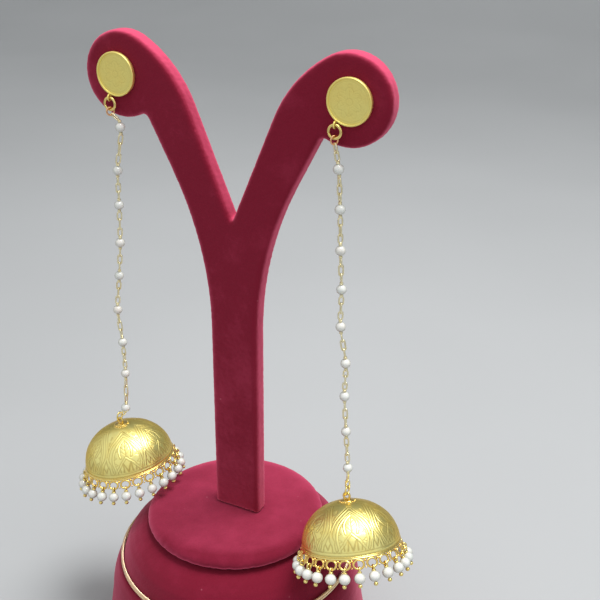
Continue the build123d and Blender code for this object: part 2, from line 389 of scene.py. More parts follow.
def raised(height: float) -> Matrix:
    """A move along Z. Args: height: how far. Returns: the 4 x 4 matrix."""
    return Matrix.Translation((0, 0, height))


def box_mm(node: str) -> list[Vector]:
    """A CAD node's box. Args: node: its name. Returns: its low and high corners in millimetres."""
    return [Vector(corner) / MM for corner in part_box(node)]


def upright(direction: Vector, azimuth: float) -> Matrix:
    """A frame whose Z runs along a direction.

    Args:
        direction: where local Z points.
        azimuth: the turn about that direction, in degrees.

    Returns:
        The rotation as a 4 x 4 matrix.
    """
    axis = direction.normalized()
    side = Vector((0, 1, 0)).cross(axis).normalized()
    front = axis.cross(side)
    matrix = Matrix((side, front, axis)).transposed().to_4x4()
    return matrix @ turned(azimuth)


class Shape:
    """A mesh being worked in millimetres that ends as one object in metres."""

    def __init__(self) -> None:
        """Start empty."""
        self.mesh = bmesh.new()

    def add(self, part: Shape, place: Matrix) -> None:
        """Copy another shape in.

        Args:
            part: the shape to copy, which stays as it is.
            place: where the copy goes.
        """
        scrap = bpy.data.meshes.new("scrap")
        part.mesh.to_mesh(scrap)
        scrap.transform(place)
        self.mesh.from_mesh(scrap)
        bpy.data.meshes.remove(scrap)

    def move(self, place: Matrix) -> None:
        """Move the whole shape. Args: place: the transform."""
        bmesh.ops.transform(self.mesh, matrix=place, verts=self.mesh.verts)

    def copy(self) -> Shape:
        """Returns: another shape just like it, with its attributes."""
        twin = Shape()
        twin.mesh.free()
        twin.mesh = self.mesh.copy()
        return twin

    def spin_profile(self, profile: list[tuple[float, float]], steps: int) -> None:
        """Turn an open profile of (radius, height) about Z, full circle.

        Args:
            profile: the points from one end to the other; a radius of 0 closes on the axis.
            steps: faces around.
        """
        verts = [self.mesh.verts.new((r, 0, z)) for r, z in profile]
        edges = [self.mesh.edges.new(pair) for pair in zip(verts, verts[1:])]
        bmesh.ops.spin(self.mesh, geom=verts + edges, cent=(0, 0, 0), axis=(0, 0, 1), angle=TURN, steps=steps,
                       use_merge=True)
        poles = [v for v in self.mesh.verts if v.co.xy.length < 1e-6]
        bmesh.ops.remove_doubles(self.mesh, verts=poles, dist=1e-5)
        self.face_out()

    def face_out(self) -> None:
        """Make every face point outwards."""
        bmesh.ops.recalc_face_normals(self.mesh, faces=self.mesh.faces)

    def smooth_all(self) -> None:
        """Shade every face smooth."""
        for face in self.mesh.faces:
            face.smooth = True

    def publish(self, name: str, body: str, slot: Slot, material: bpy.types.Material,
                replaced: tuple[str, ...]) -> bpy.types.Object:
        """Make the shape a scene object that rides on a body.

        Args:
            name: the object's name.
            body: the CAD body it moves with.
            slot: the record's material slot; not used.
            material: its finish.
            replaced: the CAD nodes it stands for.

        Returns:
            The object.
        """
        self.smooth_all()
        data = bpy.data.meshes.new(name)
        self.mesh.to_mesh(data)
        self.mesh.free()
        data.transform(Matrix.Scale(MM, 4))
        data.materials.append(material)
        piece = bpy.data.objects.new(name, data)
        bpy.context.scene.collection.objects.link(piece)
        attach(piece, body)
        if replaced:
            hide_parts(*replaced)
        LOG.info("%s: %d faces on %s", name, len(data.polygons), body)
        return piece


def discard(*shapes: Shape) -> None:
    """Free shapes that were copied into others. Args: shapes: those shapes."""
    for shape in shapes:
        shape.mesh.free()


def wire_ring(radius: float, wire: float, around: int = 40, across: int = 10, slit: float = 0.0) -> Shape:
    """A ring of round wire about Z.

    Args:
        radius: the wire's centre line.
        wire: the wire's radius.
        around: steps round the ring.
        across: steps round the wire.
        slit: the open joint's width in degrees, 0 for a soldered ring.

    Returns:
        The ring.
    """
    ring = Shape()
    frame = Matrix.Translation((radius, 0, 0)) @ turned(90, "X")
    made = bmesh.ops.create_circle(ring.mesh, segments=across, radius=wire, matrix=frame)
    loop = made["verts"] + list(ring.mesh.edges)
    bmesh.ops.spin(ring.mesh, geom=loop, cent=(0, 0, 0), axis=(0, 0, 1), angle=TURN - math.radians(slit),
                   steps=around, use_merge=slit == 0.0)
    if slit:
        bmesh.ops.holes_fill(ring.mesh, edges=[e for e in ring.mesh.edges if e.is_boundary])
    ring.face_out()
    return ring


def long_link(half_length: float, half_width: float, wire: float, around: int = 32, across: int = 8) -> Shape:
    """A wire link with straight sides, long along Z, its hole facing X.

    Args:
        half_length: from its centre to the end of the wire's centre line.
        half_width: from its centre to the side's centre line.
        wire: the wire's radius.
        around: steps round the link.
        across: steps round the wire.

    Returns:
        The link.
    """
    link = wire_ring(half_width, wire, around, across)
    link.move(turned(90, "Y"))
    reach = half_length - half_width
    for sign in (-1, 1):
        half = [v for v in link.mesh.verts if v.co.z * sign > 1e-6]
        bmesh.ops.translate(link.mesh, verts=half, vec=(0, 0, sign * reach))
    return link


def ball(radius: float, squash: float = 1.0, around: int = 20, rings: int = 12) -> Shape:
    """A ball, flattened along Z.

    Args:
        radius: its radius.
        squash: its height over its width.
        around: faces round it.
        rings: faces from pole to pole.

    Returns:
        The ball.
    """
    shape = Shape()
    bmesh.ops.create_uvsphere(shape.mesh, u_segments=around, v_segments=rings, radius=radius)
    bmesh.ops.scale(shape.mesh, verts=shape.mesh.verts, vec=(1, 1, squash))
    return shape


# ---------------------------------------------------------------------------
# The stand
# ---------------------------------------------------------------------------


def pile_noise(point: Vector, scale: float) -> float:
    """Noise of about -1 to 1. Args: point: the spot in mm. scale: the noise's size in mm. Returns: the value."""
    return noise.noise(point / scale)


@dataclass
class Stand:
    """The velvet base, its padded top, the Y board and the two trim cords."""

    tuft_size: float = 0.9
    board_voxel: float = 0.55
    board_tuft: float = 0.07
    base_steps: int = 288
    base_cell: float = 0.8
    base_slack: float = 0.12
    base_slack_size: float = 14.0
    base_tuft: float = 0.06
    foot_ring: float = 22.0
    top_ring: float = 12.0
    pad_steps: int = 288
    pad_flat: float = 24.0
    pad_drawn_radius: float = 28.6
    pad_crown: float = 0.12
    pad_crown_start: float = 2.0
    pad_crown_size: float = 9.0
    pad_ripple: float = 0.06
    pad_ripple_size: float = 6.0
    pucker_count: int = 46
    pucker_depth: float = 0.28
    pucker_strength: tuple[float, float] = (0.25, 1.0)
    pucker_width: tuple[float, float] = (0.018, 0.032)
    pucker_height: float = 1.7
    pucker_reach: float = 2.3
    cord_strands: int = 3
    cord_pitch: float = 2.2
    cord_offset: float = 0.215
    strand_radius: float = 0.235
    strand_sides: int = 7
    steps_per_turn: int = 10
    seed: int = 11
    foot: tuple[tuple[float, float], ...] = ((42.5, 0.0), (44.1, 0.35), (44.9, 1.3), (45.0, 2.4))
    drum: tuple[tuple[float, float], ...] = (
        (43.2, 12.0), (41.5, 22.7), (41.3, 25.4), (40.85, 28.0), (40.1, 30.7), (39.2, 32.8), (38.6, 33.8), (38.1, 34.2),
        (37.6, 34.3), (37.25, 34.5))
    shoulder: tuple[tuple[float, float], ...] = (
        (37.2, 35.5), (36.4, 38.2), (35.1, 41.0), (33.2, 43.3), (31.0, 45.2), (28.9, 46.5), (27.0, 47.05),
        (25.4, 47.2))
    pad_foot: tuple[tuple[float, float], ...] = ((0.0, 0.0), (14.0, 0.0), (24.0, 0.0), (26.2, 0.05))
    pad_side: tuple[tuple[float, float], ...] = (
        (26.95, 0.25), (27.7, 0.7), (28.2, 1.15), (28.5, 1.65), (28.58, 2.1), (28.5, 2.55), (28.3, 2.95), (27.95, 3.4),
        (27.4, 3.8), (26.7, 4.12), (25.8, 4.36), (24.9, 4.52), (24.0, 4.6))

    def board(self, frame: dict, velvet: bpy.types.Material) -> None:
        """The Y board under stretched velvet.

        Args:
            frame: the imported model.
            velvet: its finish.
        """
        shape = Shape()
        shape.mesh.from_mesh(frame["nodes"]["stand_board"].data)
        bmesh.ops.scale(shape.mesh, verts=shape.mesh.verts, vec=(1 / MM,) * 3)
        bmesh.ops.remove_doubles(shape.mesh, verts=shape.mesh.verts, dist=1e-3)
        covered = self.remeshed(shape, self.board_voxel)
        bmesh.ops.smooth_vert(covered.mesh, verts=covered.mesh.verts, factor=0.5, use_axis_x=True, use_axis_y=True,
                              use_axis_z=True)
        self.raise_pile(covered, self.board_tuft)
        covered.publish("stand_board_velvet", "root", Slot.VELVET, velvet, ("stand_board",))

    def remeshed(self, shape: Shape, voxel: float) -> Shape:
        """An even skin over a shape.

        Args:
            shape: the closed shape to cover, which is used up.
            voxel: the skin's cell in millimetres.

        Returns:
            The skin.
        """
        data = bpy.data.meshes.new("core")
        shape.mesh.to_mesh(data)
        shape.mesh.free()
        core = bpy.data.objects.new("core", data)
        bpy.context.scene.collection.objects.link(core)
        skin = core.modifiers.new("skin", "REMESH")
        skin.mode = "VOXEL"
        skin.voxel_size = voxel
        graph = bpy.context.evaluated_depsgraph_get()
        result = bpy.data.meshes.new_from_object(core.evaluated_get(graph))
        covered = Shape()
        covered.mesh.from_mesh(result)
        bpy.data.objects.remove(core)
        bpy.data.meshes.remove(data)
        bpy.data.meshes.remove(result)
        return covered

    def raise_pile(self, shape: Shape, height: float) -> None:
        """Roughen a skin by a fraction of a millimetre.

        Args:
            shape: the skin.
            height: the largest move along the normal.
        """
        shape.mesh.normal_update()
        for vert in shape.mesh.verts:
            vert.co += vert.normal * height * (pile_noise(vert.co, self.tuft_size) + 0.6)

    def base(self, velvet: bpy.types.Material) -> None:
        """The weighted base, closed underneath. Args: velvet: its finish."""
        shape = Shape()
        outline = [*self.foot, *self.drum, *self.shoulder]
        fine: list[tuple[float, float]] = []
        for (r0, z0), (r1, z1) in zip(outline, outline[1:]):
            parts = max(1, round(math.hypot(r1 - r0, z1 - z0) / self.base_cell))
            fine += [(r0 + (r1 - r0) * t / parts, z0 + (z1 - z0) * t / parts) for t in range(parts)]
        high = outline[-1][1]
        profile = [(0.0, 0.0), (self.foot_ring, 0.0), *fine, outline[-1], (self.top_ring, high), (0.0, high)]
        shape.spin_profile(profile, self.base_steps)
        shape.mesh.normal_update()
        for vert in shape.mesh.verts:
            if 0.5 < vert.co.z < high - 0.2:
                slack = self.base_slack * pile_noise(vert.co, self.base_slack_size)
                tuft = self.base_tuft * pile_noise(vert.co, self.tuft_size)
                vert.co += vert.normal * (slack - self.base_slack + tuft)
        shape.publish("stand_base_velvet", "root", Slot.VELVET, velvet, ("stand_base",))

    def pad(self, velvet: bpy.types.Material) -> None:
        """The cushioned top, gathered under its edge. Args: velvet: its finish."""
        low, high = box_mm("stand_pad")
        bottom, top, radius = low.z, high.z, high.x
        shape = Shape()
        profile = [(r, bottom + z) for r, z in self.pad_foot]
        profile += [(r * radius / self.pad_drawn_radius, bottom + z) for r, z in self.pad_side]
        profile += [(self.pad_flat - i, top) for i in range(1, int(self.pad_flat))] + [(0.0, top)]
        shape.spin_profile(profile, self.pad_steps)
        rng = random.Random(self.seed)
        folds = [((k + rng.uniform(-0.3, 0.3)) * TURN / self.pucker_count, rng.uniform(*self.pucker_strength),
                  rng.uniform(*self.pucker_width)) for k in range(self.pucker_count)]
        shape.mesh.normal_update()
        for vert in shape.mesh.verts:
            reach = vert.co.xy.length
            height = vert.co.z - bottom
            if reach > self.pad_flat and height > 0.02:
                angle = math.atan2(vert.co.y, vert.co.x) % TURN
                crease = sum(depth * math.exp(-(((angle - at + math.pi) % TURN - math.pi) / width) ** 2)
                             for at, depth, width in folds)
                strength = max(0.0, 1 - abs(height - self.pucker_height) / self.pucker_reach)
                vert.co -= vert.normal * self.pucker_depth * crease * strength
            if height > self.pad_crown_start:
                swell = 0.6 + 0.4 * pile_noise(vert.co, self.pad_crown_size)
                vert.co.z += self.pad_crown * (1 - (reach / radius) ** 2) * swell
                vert.co.z += self.pad_ripple * pile_noise(vert.co, self.pad_ripple_size)
        shape.publish("stand_pad_cushion", "root", Slot.VELVET, velvet, ("stand_pad",))

    def trim_cord(self, node: str, metal: bpy.types.Material) -> None:
        """One twisted metallic cord, laid round the shoulder.

        Args:
            node: the CAD node it stands for.
            metal: its finish.
        """
        low, high = box_mm(node)
        middle = (high.z + low.z) / 2
        reach = high.x - (high.z - low.z) / 2
        around = TURN * reach
        turns = round(around / self.cord_pitch)
        steps = turns * self.steps_per_turn
        strand = Shape()
        frame = Matrix.Translation((0, self.cord_offset, 0)) @ turned(90, "Y")
        made = bmesh.ops.create_circle(strand.mesh, segments=self.strand_sides, radius=self.strand_radius, matrix=frame)
        bmesh.ops.spin(strand.mesh, geom=made["verts"] + list(strand.mesh.edges), cent=(0, 0, 0), axis=(1, 0, 0),
                       dvec=(around / steps, 0, 0), angle=TURN * turns, steps=steps)
        shape = Shape()
        for k in range(self.cord_strands):
            shape.add(strand, turned(360 * k / self.cord_strands, "X"))
        discard(strand)
        for vert in shape.mesh.verts:
            angle = vert.co.x / reach
            radius = reach + vert.co.y
            vert.co = Vector((radius * math.cos(angle), radius * math.sin(angle), middle + vert.co.z))
        bmesh.ops.remove_doubles(shape.mesh, verts=shape.mesh.verts, dist=1e-3)
        shape.face_out()
        shape.publish(f"{node}_twist", "root", Slot.CORD, metal, (node,))


# ---------------------------------------------------------------------------
# The jhumka
# ---------------------------------------------------------------------------


@dataclass
class DomeShape:
    """The bell's outline: an upright side arc that runs smoothly into a wider crown arc."""

    radius: float = 14.9
    height: float = 13.0
    side_radius: float = 11.7

    def __post_init__(self) -> None:
        """Work out the crown arc and the arc lengths."""
        self.side_centre = self.radius - self.side_radius
        rise = self.height - self.side_radius
        self.crown_radius = (self.side_centre**2 + self.height**2 - self.side_radius**2) / (2 * rise)
        self.crown_centre = self.height - self.crown_radius
        self.side_angle = math.atan2(-self.crown_centre, self.side_centre)
        self.side_length = self.side_radius * self.side_angle
        self.length = self.side_length + self.crown_radius * (math.pi / 2 - self.side_angle)

    def at(self, travel: float, inset: float = 0.0) -> tuple[float, float]:
        """A point of the outline.

        Args:
            travel: arc length up from the rim.
            inset: how far inside the skin.

        Returns:
            Radius and height.
        """
        if travel < self.side_length:
            angle = travel / self.side_radius
            reach = self.side_radius - inset
            return self.side_centre + reach * math.cos(angle), reach * math.sin(angle)
        angle = (self.length - travel) / self.crown_radius
        reach = self.crown_radius - inset
        return reach * math.sin(angle), self.crown_centre + reach * math.cos(angle)

    def travel(self, radius: np.ndarray, height: np.ndarray) -> np.ndarray:
        """Arc length up from the rim, for points on the skin.

        Args:
            radius: distances from the axis.
            height: heights over the rim.

        Returns:
            The arc lengths.
        """
        side = self.side_radius * np.arctan2(height, radius - self.side_centre)
        crown = self.length - self.crown_radius * np.arctan2(radius, height - self.crown_centre)
        return np.where(side < self.side_length, side, crown)


@dataclass
class ChasedPattern:
    """Traditional lotus petals, leaves and points, struck into the bell.

    Every stroke is a line of (across, up) points: across is 0 at a petal's
    middle and 1 at the seam between two petals, and up is in millimetres.
    """

    petals: int = 6
    base: float = 2.1
    tip: float = 16.8
    groove_depth: float = 0.06
    ridge_height: float = 0.035
    groove_width: float = 0.16
    ridge_width: float = 0.2
    ridge_gap: float = 0.38
    petal_swell: float = 0.05
    swell_reach: float = 1.6
    wobble: float = 0.42
    wobble_size: float = 4.2
    wobble_band: tuple[float, float] = (2.2, 18.4)
    fade: float = 1.5
    outer_width: float = 0.95
    inner_width: float = 0.68
    inner_drop: float = 2.6
    border_cuts: tuple[tuple[float, float], ...] = ((0.8, 1.0), (1.75, 0.7), (18.9, 0.9), (19.5, 0.6))
    border_ridges: tuple[float, ...] = (1.2, 19.2)
    seed: int = 7
    ridges: list[list[tuple[float, float]]] = field(default_factory=list)
    cuts: list[tuple[list[tuple[float, float]], float, float]] = field(default_factory=list)

    def __post_init__(self) -> None:
        """Draw the strokes."""
        inner_tip = self.tip - self.inner_drop
        self.ridges += [self.petal_edge(self.base, self.tip, self.outer_width),
                        self.petal_edge(self.base, inner_tip, self.inner_width)]
        self.ridges.append(self.petal_edge(7.3, 13.6, 0.36))
        self.ridges.append([(0.56, self.base), (0.3, 5.0), (0.0, 7.2)])
        self.ridges.append([(1.0, 7.4), (0.8, 4.6), (0.76, self.base)])
        self.cuts.append(([(0.0, 7.9), (0.0, 12.6)], 0.9, 1.1))
        for k in range(3):
            up = 8.3 + k * 1.35
            self.cuts.append(([(0.03, up), (0.24 - 0.03 * k, up + 1.0)], 0.7, 1.0))
        self.cuts += [([(0.0, 2.4), (0.2, 5.4)], 1.5, 1.7), ([(0.2, 2.4), (0.2, 4.9)], 1.4, 1.6),
                      ([(0.34, 2.4), (0.4, 4.2)], 1.2, 1.4)]
        for k in range(4):
            up = 4.4 + k * 2.3
            wide = self.width_at(up, self.base, inner_tip, self.inner_width)
            self.cuts.append(([(wide * 0.93, up), (wide * 0.72, up + 0.55), (wide * 0.9, up + 1.1)], 0.8, 1.1))
        for k in range(3):
            up = 9.2 + k * 2.2
            self.cuts.append(([(1.0, up), (0.97 - 0.02 * k, up + 1.1), (1.0, up + 1.5)], 0.9, 1.1))
        self.cuts.append(([(1.0, 2.5), (0.9, 4.2)], 1.1, 1.3))

    def width_at(self, up: float, low: float, high: float, wide: float, middle: float = 0.38) -> float:
        """Half a petal's width.

        Args:
            up: the height.
            low: the petal's foot.
            high: its tip.
            wide: its half width at the widest.
            middle: where that is, from 0 at the foot to 1 at the tip.

        Returns:
            The half width, in the units of across.
        """
        part = min(1.0, max(0.0, (up - low) / (high - low)))
        if part < middle:
            return wide * (0.74 + 0.26 * math.sin(part / middle * math.pi / 2))
        return wide * math.cos((part - middle) / (1 - middle) * math.pi / 2) ** 0.75

    def petal_edge(self, low: float, high: float, wide: float) -> list[tuple[float, float]]:
        """Half a petal's outline, as the arguments of width_at describe it. Returns: its points."""
        count = 24
        ups = [low + (high - low) * k / count for k in range(count + 1)]
        return [(self.width_at(up, low, high, wide), up) for up in ups]

    def distance(self, points: list[tuple[float, float]], across: np.ndarray, up: np.ndarray,
                 scale: np.ndarray) -> np.ndarray:
        """How far places on the skin are from a stroke.

        Args:
            points: the stroke.
            across: each place between a petal's middle, 0, and its seam, 1.
            up: each place's arc length above the rim.
            scale: millimetres for a unit of across, at each place.

        Returns:
            Distances in millimetres, no more than 2.
        """
        nearest = np.full_like(up, 4.0)
        for (a0, u0), (a1, u1) in zip(points, points[1:]):
            near = np.nonzero((up > min(u0, u1) - 1.0) & (up < max(u0, u1) + 1.0))[0]
            ax, ay = (a0 - across[near]) * scale[near], u0 - up[near]
            dx, dy = (a1 - a0) * scale[near], u1 - u0
            along = np.clip(-(ax * dx + ay * dy) / np.maximum(dx * dx + dy * dy, 1e-9), 0, 1)
            nearest[near] = np.minimum(nearest[near], (ax + along * dx) ** 2 + (ay + along * dy) ** 2)
        return np.sqrt(nearest)

    def strike(self, across: np.ndarray, up: np.ndarray, scale: np.ndarray) -> tuple[np.ndarray, np.ndarray]:
        """Grooves and ridges at places on the skin, as the arguments of distance describe them.

        Returns:
            How much each place is groove and how much it is ridge, from 0 to about 1.
        """
        groove, ridge = np.zeros_like(up), np.zeros_like(up)
        for points in self.ridges:
            gap = self.distance(points, across, up, scale)
            ridge = np.maximum(ridge, np.exp(-((gap / self.ridge_width) ** 2)))
            groove = np.maximum(groove, np.exp(-(((gap - self.ridge_gap) / self.groove_width) ** 2)))
        for points, weight, width in self.cuts:
            gap = self.distance(points, across, up, scale)
            groove = np.maximum(groove, weight * np.exp(-((gap / (width * self.groove_width)) ** 2)))
        for line, weight in self.border_cuts:
            groove = np.maximum(groove, weight * np.exp(-(((up - line) / self.groove_width) ** 2)))
        for line in self.border_ridges:
            ridge = np.maximum(ridge, np.exp(-(((up - line) / self.ridge_width) ** 2)))
        return groove * (1 - 0.8 * ridge), ridge

    def relief(self, points: np.ndarray, shape: DomeShape) -> tuple[np.ndarray, np.ndarray]:
        """The chasing at points of the skin.

        Args:
            points: the points, in millimetres.
            shape: the bell's outline.

        Returns:
            Height along the skin's normal, and how much each point is groove.
        """
        radius = np.hypot(points[:, 0], points[:, 1])
        up = shape.travel(radius, points[:, 2])
        theta = np.arctan2(points[:, 1], points[:, 0])
        noise.seed_set(self.seed)  # noise_vector is seeded by the clock otherwise
        drift = np.array([noise.noise_vector(Vector(p) / self.wobble_size) for p in points])
        low, high = self.wobble_band
        fade = np.clip((up - low) / self.fade, 0, 1) * np.clip((high - up) / self.fade, 0, 1)
        theta = theta + self.wobble * drift[:, 0] * fade / np.maximum(radius, 3.0)
        up = up + self.wobble * drift[:, 1] * fade
        half = math.pi / self.petals
        across = np.abs((theta + half) % (2 * half) - half) / half
        scale = half * radius
        groove, ridge = self.strike(across, up, scale)
        ups = np.linspace(0, 22, 441)
        edge = np.array([self.width_at(u, self.base, self.tip, self.outer_width) for u in ups])
        room = (np.interp(up, ups, edge) - across) * scale
        inside = np.clip(room / self.swell_reach, 0, 1) * np.clip((up - self.base) / self.fade, 0, 1)
        swell = self.petal_swell * np.sin(inside * math.pi / 2) ** 0.8
        height = swell - self.petal_swell - self.groove_depth * groove + self.ridge_height * ridge
        return height - self.ridge_height, np.clip(groove, 0, 1)


@dataclass
class Jhumka:
    """One drop: bell, gallery, cap, loop, pearls and pins, in its own frame with the rim's centre at 0."""

    shape: DomeShape = field(default_factory=DomeShape)
    pattern: ChasedPattern = field(default_factory=ChasedPattern)
    around: int = 640
    rows: int = 148
    wall: float = 0.5
    top_gap: float = 1.6
    grain: float = 0.012
    dents: float = 0.03
    rim_wires: tuple[tuple[float, float, float, int], ...] = ((0.2, 0.34, 0.0, 14), (0.1, 0.13, 0.5, 8))
    cap_radius: float = 2.2
    cap_height: float = 0.45
    cap_granules: int = 18
    cap_granule: float = 0.24
    loop_radius: float = 0.95
    loop_wire: float = 0.35
    pearl_count: int = 24
    gallery_radius: float = 1.3
    gallery_wire: float = 0.3
    gallery_centre: tuple[float, float] = (15.3, -1.55)
    gallery_flare: float = 20.0
    gallery_scale: Point = (0.97, 1.16, 0.9)
    gallery_granule: float = 0.42
    granule_spots: tuple[tuple[float, float], ...] = ((1.0, 1.0), (-0.95, 0.62))
    pearl_radius: float = 1.65
    end_ball_radius: float = 0.65
    end_ball_reach: float = 2.05
    eye: tuple[float, float] = (0.68, 0.28)
    eye_drop: float = 0.1
    coil: tuple[float, float] = (0.42, 0.27)
    coil_drop: float = 0.85
    pearl_sizes: tuple[float, float] = (0.95, 1.0)
    sway: tuple[float, float] = (0.045, 0.03)
    pearl_flare: float = 23.0
    pearl_reach: float = 2.55

    def __post_init__(self) -> None:
        """Make the pieces that both drops share."""
        self.shell, self.edge, self.crown, self.row = self.bell(), self.rim(), self.cap(), self.gallery()

    def bell(self) -> Shape:
        """The chased shell, with its groove attribute. Returns: the shape."""
        shell = Shape()
        top = self.shape.length - self.top_gap
        outer = [self.shape.at(top * k / self.rows) for k in range(self.rows + 1)]
        shell.spin_profile(outer, self.around)
        layer = shell.mesh.verts.layers.float.new("groove")
        shell.mesh.normal_update()
        verts = list(shell.mesh.verts)
        points = np.array([v.co for v in verts])
        height, groove = self.pattern.relief(points, self.shape)
        outward = 1 if verts[0].normal.dot(Vector((*verts[0].co.xy, 0))) > 0 else -1
        for vert, rise, cut in zip(verts, height, groove):
            grain = self.grain * pile_noise(vert.co, 1.1) + self.dents * (pile_noise(vert.co, 3.6) - 0.5)
            vert.co += vert.normal * outward * (float(rise) + grain)
            vert[layer] = float(cut)
        if outward < 0:
            bmesh.ops.reverse_faces(shell.mesh, faces=shell.mesh.faces)
        lining = Shape()
        inner = [self.shape.at(top * k / 22, self.wall + 0.05) for k in range(23)]
        lining.spin_profile(inner, 96)
        bmesh.ops.reverse_faces(lining.mesh, faces=lining.mesh.faces)
        shell.add(lining, Matrix.Identity(4))
        discard(lining)
        return shell

    def rim(self) -> Shape:
        """The two wires round the rim. Returns: the shape."""
        parts = Shape()
        for inset, wire, height, across in self.rim_wires:
            ring = wire_ring(self.shape.radius - inset, wire, 192, across)
            parts.add(ring, raised(height))
            discard(ring)
        return parts

    def cap(self) -> Shape:
        """The cap with its granules, and the top loop. Returns: the shape."""
        parts = Shape()
        cap = Shape()
        high = self.shape.height
        edge = self.cap_radius
        cap.spin_profile([(edge - 0.1, high - 0.45), (edge, high - 0.3), (edge, high - 0.05), (edge - 0.12, high + 0.1),
                          (1.7, high + 0.2), (1.35, high + 0.22), (1.2, high + 0.34), (0.8, high + 0.43),
                          (0.0, high + self.cap_height)], 64)
        parts.add(cap, Matrix.Identity(4))
        studs = ball(self.cap_granule, 0.8, 10, 6)
        for k in range(self.cap_granules):
            spot = Matrix.Translation((edge + self.cap_granule / 2, 0, high - 0.34))
            parts.add(studs, turned(360 * k / self.cap_granules) @ spot)
        loop = wire_ring(self.loop_radius, self.loop_wire, 40, 12)
        centre = high + self.cap_height + self.loop_radius - self.loop_wire / 2
        parts.add(loop, raised(centre) @ turned(90, "X"))
        discard(cap, studs, loop)
        return parts

    def gallery(self) -> Shape:
        """The openwork row of wire rounds and granules under the rim. Returns: the shape."""
        row = Shape()
        loop = wire_ring(self.gallery_radius, self.gallery_wire, 28, 10)
        bmesh.ops.scale(loop.mesh, verts=loop.mesh.verts, vec=self.gallery_scale)
        grain = ball(self.gallery_granule, 1.0, 10, 7)
        reach, drop = self.gallery_centre
        lean = math.radians(self.gallery_flare)
        for k in range(self.pearl_count):
            turn, between = (turned(360 * step / self.pearl_count) for step in (k, k + 0.5))
            row.add(loop, turn @ Matrix.Translation((reach, 0, drop)) @ turned(90 - self.gallery_flare, "Y"))
            for level, size in self.granule_spots:
                spot = (reach - level * math.sin(lean), 0, drop + level * math.cos(lean))
                row.add(grain, between @ Matrix.Translation(spot) @ Matrix.Scale(size, 4))
        discard(loop, grain)
        return row

    def fringe(self, seed: int, plumb: Matrix) -> tuple[Shape, Shape]:
        """The pearls and their pins.

        Args:
            seed: for the small differences from pearl to pearl.
            plumb: how the pins turn on their eyes as the drop leans.

        Returns:
            The pearls and the metal.
        """
        rng = random.Random(seed)
        pearls, pins = Shape(), Shape()
        pearl = ball(self.pearl_radius, 0.96, 24, 16)
        end = ball(self.end_ball_radius, 0.9, 12, 8)
        eye = wire_ring(*self.eye, 20, 8)
        coil = wire_ring(*self.coil, 14, 7)
        flare, lean = math.radians(self.pearl_flare), math.radians(self.gallery_flare)
        foot = (self.gallery_centre[0] + self.gallery_radius * math.sin(lean),
                self.gallery_centre[1] - self.gallery_radius * math.cos(lean))
        for k in range(self.pearl_count):
            turn = turned(360 * k / self.pearl_count)
            tilt = (rng.gauss(0, self.sway[0]), -flare + rng.gauss(0, self.sway[1]), 0)
            sway = Euler(tilt).to_matrix().to_4x4()
            hang = Matrix.Translation(turn @ Vector((foot[0], 0, foot[1]))) @ plumb @ turn @ sway
            roll = Matrix.Rotation(rng.uniform(-0.5, 0.5), 4, "Z")
            size = rng.uniform(*self.pearl_sizes)
            pearls.add(pearl, hang @ raised(-self.pearl_reach) @ roll @ Matrix.Scale(size, 4))
            pins.add(eye, hang @ raised(-self.eye_drop) @ turned(90, "X"))
            pins.add(coil, hang @ raised(-self.coil_drop))
            pins.add(end, hang @ raised(-self.pearl_reach - self.end_ball_reach))
        discard(pearl, end, eye, coil)
        return pearls, pins


